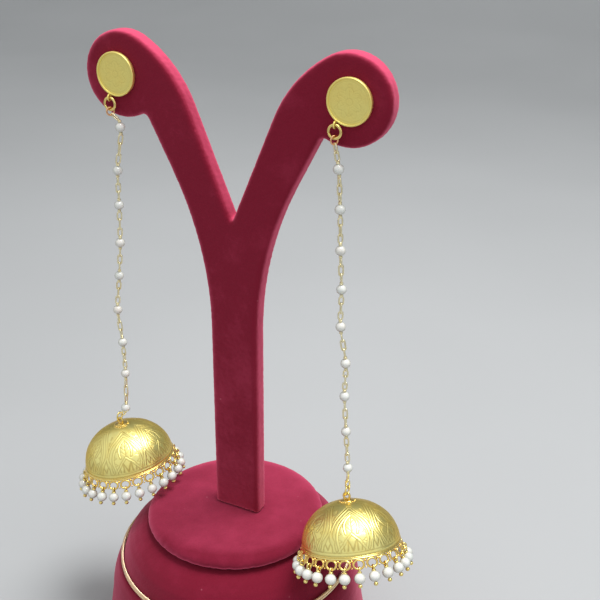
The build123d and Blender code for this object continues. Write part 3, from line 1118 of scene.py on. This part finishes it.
@dataclass
class Earring:
    """One earring: stud, rings, pearl chain and jhumka."""

    hand: Hand
    lean: tuple[float, float]
    eyelet_angle: float
    beads: tuple[Point, ...]
    petal_turn: float
    plumb: float
    seed: int
    disc_radius: float = 6.25
    disc_face: float = 0.85
    disc_steps: int = 46
    engraving_depth: float = 0.07
    rim_height: float = 1.2
    rim_width: float = 0.55
    disc_back: float = 2.35
    post_radius: float = 0.58
    post_tip: float = 4.5
    post_tip_radius: float = 0.4
    eyelet_reach: float = 7.05
    eyelet_radius: float = 0.85
    eyelet_wire: float = 0.25
    eyelet_height: float = 1.1
    stud_ring: RingSize = (1.75, 0.4, 200.0)
    small_ring: RingSize = (1.15, 0.25, 120.0)
    small_ring_yaw: float = -30.0
    drop_ring: RingSize = (1.4, 0.25, 70.0)
    ring_slit: float = 3.0
    bead_radius: float = 1.5
    bead_sizes: tuple[float, float] = (0.96, 1.0)
    bead_top: float = 1.95
    bead_coil: tuple[float, float] = (0.36, 0.18)
    coil_levels: tuple[float, float] = (0.12, 0.42)
    stem_radius: float = 0.17
    link_wire: float = 0.25
    link_half_width: float = 0.6
    middle_link: float = 1.25
    run_lengths: tuple[float, float] = (3.7, 6.2)
    azimuths: tuple[float, float] = (60.0, 90.0)
    hang_height: float = 14.475

    @property
    def name(self) -> str:
        """The prefix of its nodes."""
        return self.hand.value

    def publish(self, shape: Shape, label: str, node: str, material: bpy.types.Material, slot: Slot = Slot.GOLD,
                body: str = "root") -> None:
        """Make a shape one of this earring's pieces.

        Args:
            shape: the shape.
            label: the piece's name without the hand.
            node: the CAD node it stands for, without the hand.
            material: its finish.
            slot: the record's material slot.
            body: the body it rides on.
        """
        shape.publish(f"{self.name}_{label}", body, slot, material, (f"{self.name}_{node}",))

    def middle(self, node: str) -> Vector:
        """The middle of a CAD node's box in millimetres. Args: node: its name without the hand."""
        low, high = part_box(f"{self.name}_{node}")
        return (Vector(low) + Vector(high)) / 2 / MM

    def joint_spot(self, frame: dict, joint: str) -> Vector:
        """A joint's place in mm. Args: frame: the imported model. joint: its name less the hand. Returns: it."""
        rows = frame["record"]["behaviour"]["joints"]
        return Vector(next(row["pos_m"] for row in rows if row["name"] == f"{self.name}_{joint}")) / MM

    def stud(self, satin: bpy.types.Material) -> None:
        """The engraved disc in its rim, with post and eyelet. Args: satin: its finish."""
        low, high = box_mm(f"{self.name}_stud")
        centre = Vector(((low.x + high.x) / 2, low.y + self.disc_back, high.z - self.disc_radius))
        place = Matrix.Translation(centre) @ turned(90, "X")
        disc = Shape()
        steps = self.disc_steps
        inner = self.disc_radius - self.rim_width + 0.05
        disc.spin_profile([(inner * (1 - k / steps), self.disc_face) for k in range(steps + 1)], 180)
        layer = disc.mesh.verts.layers.float.new("groove")
        for vert in disc.mesh.verts:
            cut = self.engraving(vert.co.x, vert.co.y)
            vert.co.z -= self.engraving_depth * cut
            vert[layer] = cut
        if sum(face.normal.z for face in disc.mesh.faces) < 0:
            bmesh.ops.reverse_faces(disc.mesh, faces=disc.mesh.faces)
        disc.move(place)
        self.publish(disc, "stud_disc", "stud", satin)
        setting = Shape()
        r, w, h = self.disc_radius, self.rim_width, self.rim_height
        body = Shape()
        body.spin_profile([(0.0, 0.0), (3.0, 0.0), (r - 0.15, 0.0), (r - 0.03, 0.06), (r, 0.18), (r, h - 0.25),
                           (r - 0.06, h - 0.09), (r - 0.2, h), (r - w + 0.2, h), (r - w + 0.06, h - 0.08),
                           (r - w, h - 0.2), (r - w, self.disc_face - 0.12), (0.0, self.disc_face - 0.12)], 128)
        setting.add(body, place)
        post = Shape()
        end = centre.y - high.y
        tip, shaft, step = self.post_tip_radius, self.post_radius, end + self.post_tip
        post.spin_profile([(0.0, end), (0.2, end), (0.32, end + 0.08), (tip, end + 0.3), (tip, step - 0.05),
                           (shaft, step + 0.05), (shaft, 0.3), (0.0, 0.3)], 24)
        setting.add(post, place)
        angle = math.radians(self.eyelet_angle)
        eyelet = wire_ring(self.eyelet_radius, self.eyelet_wire, 28, 10)
        spot = Vector((centre.x - self.eyelet_reach * math.sin(angle), low.y + self.eyelet_height,
                       centre.z - self.eyelet_reach * math.cos(angle)))
        setting.add(eyelet, Matrix.Translation(spot) @ turned(90, "Y"))
        discard(body, post, eyelet)
        self.publish(setting, "stud_setting", "stud", satin)

    def engraving(self, x: float, y: float) -> float:
        """How deep the disc is engraved: a faint rosette with curled tendrils.

        Args:
            x: across the disc from its centre.
            y: up the disc from its centre.

        Returns:
            Depth from 0 to 1.
        """
        reach = math.hypot(x, y)
        angle = math.atan2(y, x)
        petal = 2.1 + 1.5 * abs(math.sin(3 * angle)) ** 0.7
        curl = 3.7 + 0.75 * math.sin(9 * angle + 0.6 * math.sin(2 * angle))
        vein = abs(math.sin(3 * angle)) - 1.0
        cut = math.exp(-((reach - petal) / 0.13) ** 2) + 0.8 * math.exp(-((reach - curl) / 0.11) ** 2)
        cut += math.exp(-((reach - 0.9) / 0.12) ** 2) + math.exp(-((reach - 5.15) / 0.1) ** 2)
        cut += 0.7 * math.exp(-(vein / 0.012) ** 2) * (1.0 < reach < 2.9)
        stipple = max(0.0, noise.noise(Vector((x, y, 3.0)) * 3.1)) * 0.5
        return min(1.0, cut * (0.55 + 0.45 * noise.noise(Vector((x, y, 0.0)) * 0.9)) + stipple)

    def rings(self, bright: bpy.types.Material, copper: bpy.types.Material, ring_body: str) -> None:
        """The jump rings, each cut through where it is closed.

        Args:
            bright: the larger rings' finish.
            copper: the small ring's finish.
            ring_body: the body that the drop ring is.
        """
        rows = (("stud_ring", self.stud_ring, turned(90, "X"), bright, "root"),
                ("small_ring", self.small_ring, turned(self.small_ring_yaw) @ turned(90, "Y"), copper, "root"),
                ("drop_ring", self.drop_ring, turned(self.lean[0], "X") @ turned(90, "Y"), bright, ring_body))
        for node, (radius, wire, joint), turn, metal, body in rows:
            ring = wire_ring(radius, wire, 48, 12, slit=self.ring_slit)
            ring.move(Matrix.Translation(self.middle(node)) @ turn @ turned(joint))
            self.publish(ring, f"{node}_wire", node, metal, body=body)

    def link_run(self, links: Shape, start: Vector, end: Vector, azimuths: list[float]) -> None:
        """Fill the space between two ends of wire with linked loops.

        Args:
            links: the shape that takes them.
            start: the upper end.
            end: the lower end.
            azimuths: the way each loop's hole faces, one for each loop.
        """
        run = end - start
        count = len(azimuths)
        lap = 4 * self.link_wire
        weights = [self.middle_link if 0 < k < count - 1 else 1.0 for k in range(count)]
        total = run.length + lap * (count - 1)
        lengths = [total * weight / sum(weights) for weight in weights]
        travel = 0.0
        for length, azimuth in zip(lengths, azimuths):
            half = length / 2 - self.link_wire
            link = long_link(half, min(half, self.link_half_width), self.link_wire, 24, 8)
            spot = start + run.normalized() * (travel + length / 2)
            links.add(link, Matrix.Translation(spot) @ upright(-run, azimuth))
            discard(link)
            travel += length - lap

    def chain(self, frame: dict, metal: bpy.types.Material, nacre: bpy.types.Material) -> None:
        """Nine pearls on looped wires, joined by links.

        Args:
            frame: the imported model.
            metal: the wire's finish.
            nacre: the pearls' finish.
        """
        pearls, links = Shape(), Shape()
        pearl = ball(self.bead_radius, 0.97, 24, 16)
        coil = wire_ring(*self.bead_coil, 16, 8)
        stem = Shape()
        bmesh.ops.create_cone(stem.mesh, cap_ends=True, segments=8, radius1=self.stem_radius,
                              radius2=self.stem_radius, depth=1.0)
        radius, wire = self.small_ring[:2]
        top = self.middle("small_ring") - Vector((0, 0, radius - wire - 0.3))
        pivot = self.joint_spot(frame, "ring_swing") - Vector((0, 0, 0.2))
        spots = [Vector(bead) for bead in self.beads]
        rng = random.Random(self.seed)
        runs: list[tuple[Vector, Vector]] = []
        above = top
        ways: list[Vector] = []
        for k, spot in enumerate(spots):
            before = spots[k - 1] if k else top
            after = spots[k + 1] if k + 1 < len(spots) else pivot
            ways.append((before - after).normalized())
            runs.append((above, spot + ways[k] * self.bead_top))
            above = spot - ways[k] * self.bead_top
        runs.append((above, pivot))
        counts = [1 + sum((a - b).length >= limit for limit in self.run_lengths) for a, b in runs]
        total = sum(counts)
        quarter = 90.0
        first, last = self.azimuths
        slack = ((last - first - quarter * (total - 1) + quarter) % 180.0 - quarter) / (total - 1)
        place = 0
        for (a, b), count in zip(runs, counts):
            azimuths = [first + (quarter + slack) * (place + k) for k in range(count)]
            self.link_run(links, a, b, azimuths)
            place += count
        for spot, way in zip(spots, ways):
            turn = Matrix.Translation(spot) @ upright(way, rng.uniform(0, 360))
            pearls.add(pearl, turn @ Matrix.Scale(rng.uniform(*self.bead_sizes), 4))
            for sign in (-1, 1):
                for level in self.coil_levels:
                    links.add(coil, turn @ raised(sign * (self.bead_radius + level)))
                links.add(stem, turn @ raised(sign * (self.bead_radius + 0.1)))
        discard(pearl, coil, stem)
        self.publish(pearls, "chain_pearls", "chain", nacre, Slot.PEARL)
        self.publish(links, "chain_links", "chain", metal)

    def drop(self, frame: dict, jhumka: Jhumka, chased: bpy.types.Material, bright: bpy.types.Material,
             amber: bpy.types.Material, nacre: bpy.types.Material) -> None:
        """The jhumka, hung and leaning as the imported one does.

        Args:
            frame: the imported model.
            jhumka: the drop's sizes.
            chased: the bell's finish.
            bright: the wirework's finish.
            amber: the cap's and the gallery's finish.
            nacre: the pearls' finish.
        """
        turn = turned(self.lean[0], "X") @ turned(self.lean[1], "Y")
        pivot = self.joint_spot(frame, "dome_swing")
        place = Matrix.Translation(pivot) @ turn @ raised(-self.hang_height)
        plumb = Matrix.Identity(3).to_quaternion().slerp(turn.to_quaternion().inverted(), self.plumb)
        pearls, pins = jhumka.fringe(self.seed + 5, plumb.to_matrix().to_4x4())
        shell = jhumka.shell.copy()
        shell.move(turned(self.petal_turn))
        rows = ((shell, "dome_bell", "dome", chased, Slot.GOLD),
                (jhumka.edge.copy(), "dome_rim", "dome", bright, Slot.GOLD),
                (jhumka.crown.copy(), "dome_cap", "dome", amber, Slot.GOLD),
                (jhumka.row.copy(), "dome_gallery", "dome", amber, Slot.GOLD),
                (pearls, "fringe_pearls", "fringe", nacre, Slot.PEARL),
                (pins, "fringe_pins", "fringe", bright, Slot.GOLD))
        for shape, label, node, finish, slot in rows:
            shape.move(place)
            self.publish(shape, label, node, finish, slot, f"{self.name}_drop")


# ---------------------------------------------------------------------------
# The setting
# ---------------------------------------------------------------------------


@dataclass
class Studio:
    """Camera, pale floor and backdrop, and soft light."""

    camera_place: Point = (0.13184, -0.22022, 0.24237)
    yaw: float = 26.35
    pitch: float = 24.52
    roll: float = 0.606
    focal_ratio: float = 949.3 / 600.0
    sensor: float = 36.0
    floor_width: float = 28.0
    floor_outline: tuple[tuple[float, float], ...] = (
        (-14.0, 0.0), (0.9, 0.0), (1.2, 0.03), (1.45, 0.14), (1.6, 0.34), (1.65, 0.6), (1.65, 3.0))
    floor_color: Color = (0.43, 0.438, 0.443)
    key_elevation: float = 74.0
    key_azimuth: float = 118.0
    key_target: float = 0.12
    key_distance: float = 0.75
    key_size: float = 0.46
    key_power: float = 7.0
    sky: Color = (0.78, 0.795, 0.805)

    def camera(self) -> None:
        """The camera."""
        yaw, pitch, roll = (math.radians(angle) for angle in (self.yaw, self.pitch, self.roll))
        forward = Vector((-math.sin(yaw) * math.cos(pitch), math.cos(yaw) * math.cos(pitch), -math.sin(pitch)))
        level = Vector((math.cos(yaw), math.sin(yaw), 0))
        above = level.cross(forward)
        side = math.cos(roll) * level + math.sin(roll) * above
        up = math.cos(roll) * above - math.sin(roll) * level
        data = bpy.data.cameras.new("camera")
        data.sensor_width = self.sensor
        data.lens = self.focal_ratio * self.sensor
        data.clip_start = 0.01
        data.clip_end = 20
        camera = bpy.data.objects.new("camera", data)
        camera.matrix_world = Matrix.Translation(self.camera_place) @ Matrix((side, up, -forward)).transposed().to_4x4()
        bpy.context.scene.collection.objects.link(camera)
        bpy.context.scene.camera = camera

    def floor(self) -> None:
        """The pale floor that sweeps up into a backdrop."""
        shape = bmesh.new()
        verts = [shape.verts.new((0.0, *spot)) for spot in self.floor_outline]
        edges = [shape.edges.new(pair) for pair in zip(verts, verts[1:])]
        made = bmesh.ops.extrude_edge_only(shape, edges=edges)
        moved = [item for item in made["geom"] if isinstance(item, bmesh.types.BMVert)]
        bmesh.ops.translate(shape, verts=moved, vec=(self.floor_width, 0, 0))
        bmesh.ops.translate(shape, verts=shape.verts, vec=(-self.floor_width / 2, 0, 0))
        bmesh.ops.recalc_face_normals(shape, faces=shape.faces)
        for face in shape.faces:
            face.smooth = True
        data = bpy.data.meshes.new("floor")
        shape.to_mesh(data)
        shape.free()
        material, graph = start_material("pale_floor")
        place = graph.place()
        cloud = graph.grain(place, 4.0, 2.0, 0.5)
        shade = tuple(value * 0.94 for value in self.floor_color)
        color = graph.blend(graph.remap(cloud, 0.3, 0.7), self.floor_color, shade)
        graph.surface({"Base Color": color, "Roughness": 0.8, "Specular IOR Level": 0.2})
        data.materials.append(material)
        floor = bpy.data.objects.new("floor", data)
        bpy.context.scene.collection.objects.link(floor)

    def lights(self) -> None:
        """A large soft lamp above on the right, and a pale sky."""
        lamp = bpy.data.lights.new("key", "AREA")
        lamp.shape = "DISK"
        lamp.size = self.key_size
        lamp.energy = self.key_power
        key = bpy.data.objects.new("key", lamp)
        high, turn = math.radians(self.key_elevation), math.radians(self.key_azimuth)
        way = Vector((math.cos(high) * math.sin(turn), -math.cos(high) * math.cos(turn), math.sin(high)))
        place = Vector((0, 0, self.key_target)) + way * self.key_distance
        key.matrix_world = Matrix.Translation(place) @ way.to_track_quat("Z", "Y").to_matrix().to_4x4()
        bpy.context.scene.collection.objects.link(key)
        world = bpy.data.worlds.new("sky")
        world.use_nodes = True
        graph = Graph(world.node_tree)
        light = graph.add("Background", {"Color": self.sky, "Strength": 1.0})
        graph.add("OutputWorld", {"Surface": light.outputs[0]})
        bpy.context.scene.world = world
        bpy.context.scene.view_settings.view_transform = "Standard"


LEFT_BEADS = ((-33.9, -3.0, 173.9), (-35.9, -3.0, 160.8), (-36.4, -2.9, 150.0), (-37.1, -2.8, 137.8),
              (-38.4, -2.8, 126.7), (-40.05, -2.7, 114.7), (-39.15, -2.65, 103.3), (-39.0, -2.6, 92.0),
              (-40.1, -2.5, 78.7))
RIGHT_BEADS = ((35.1, -3.2, 171.3), (35.9, -3.3, 160.5), (36.45, -3.5, 149.1), (37.1, -3.6, 137.9),
               (37.3, -3.8, 126.75), (39.2, -3.95, 115.8), (39.3, -4.1, 105.3), (40.2, -4.3, 93.9),
               (41.2, -4.4, 81.75))


def main() -> None:
    """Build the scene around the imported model."""
    logging.basicConfig(level=logging.INFO, format="%(name)s %(message)s")
    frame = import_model()
    studio = Studio()
    studio.camera()
    studio.floor()
    studio.lights()
    groups = Groups()
    # three copies of one velvet: the board's painted brighter, with painted top light; the base's lit colour darker,
    # with a wider painted sheen range
    pad_velvet = Velvet("crimson_velvet_pad", deep=(0.175, 0.008, 0.026), lit=(0.49, 0.046, 0.112)).build(groups)
    board_velvet = Velvet("crimson_velvet_board", deep=(0.205, 0.008, 0.026), lit=(0.56, 0.06, 0.13),
                          painted_top_light=0.6).build(groups)
    base_velvet = Velvet("crimson_velvet_base", deep=(0.18, 0.0075, 0.024), lit=(0.4, 0.033, 0.085),
                         painted_sheen_range=(0.35, 1.15), sheen_weight=0.35).build(groups)
    bright = Plate("bright_gold", plate=(0.9, 0.75, 0.28), warm_tone_and_reflection=(0.88, 0.6, 0.17)).build(groups)
    chased = Plate("chased_gold", plate=(0.95, 0.86, 0.31), warm_tone_and_reflection=(0.84, 0.6, 0.11), groove=(0.42, 0.29, 0.06),
                   groove_amount=0.6, smooth=0.3, rough=0.44, edge=1.0, coat=0.55,
                   tint=(0.92, 0.74, 0.3)).build(groups)
    amber = Plate("amber_gold", plate=(0.88, 0.66, 0.2), warm_tone_and_reflection=(0.82, 0.48, 0.1), coat=0.2).build(groups)
    satin = Plate("satin_gold", plate=(0.93, 0.81, 0.27), warm_tone_and_reflection=(0.9, 0.72, 0.23), groove=(0.6, 0.5, 0.16),
                  groove_amount=0.35, smooth=0.45, rough=0.6, edge=0.3).build(groups)
    pale = Plate("pale_gold", plate=(0.92, 0.85, 0.58), warm_tone_and_reflection=(0.88, 0.74, 0.4), smooth=0.22, rough=0.36).build(groups)
    copper = Plate("rose_gold", plate=(0.88, 0.52, 0.28), warm_tone_and_reflection=(0.82, 0.44, 0.2)).build(groups)
    thread = Plate("metallic_thread", plate=(0.93, 0.74, 0.5), warm_tone_and_reflection=(0.9, 0.62, 0.4), smooth=0.3,
                   rough=0.45).build(groups)
    nacre = Nacre("pearl_lustre").build()
    stand = Stand()
    stand.board(frame, board_velvet)
    stand.base(base_velvet)
    stand.pad(pad_velvet)
    for node in ("trim_cord_upper", "trim_cord_lower"):
        stand.trim_cord(node, thread)
    jhumka = Jhumka()
    earrings = (Earring(Hand.LEFT, (0.65, -10.7), 18.0, LEFT_BEADS, 8.0, 0.85, 3),
                Earring(Hand.RIGHT, (-15.8, -14.5), 30.0, RIGHT_BEADS, -4.0, 0.2, 8))
    for earring in earrings:
        earring.stud(satin)
        earring.rings(bright, copper, f"{earring.name}_ring")
        earring.chain(frame, pale, nacre)
        earring.drop(frame, jhumka, chased, bright, amber, nacre)


if __name__ == "__main__":
    main()
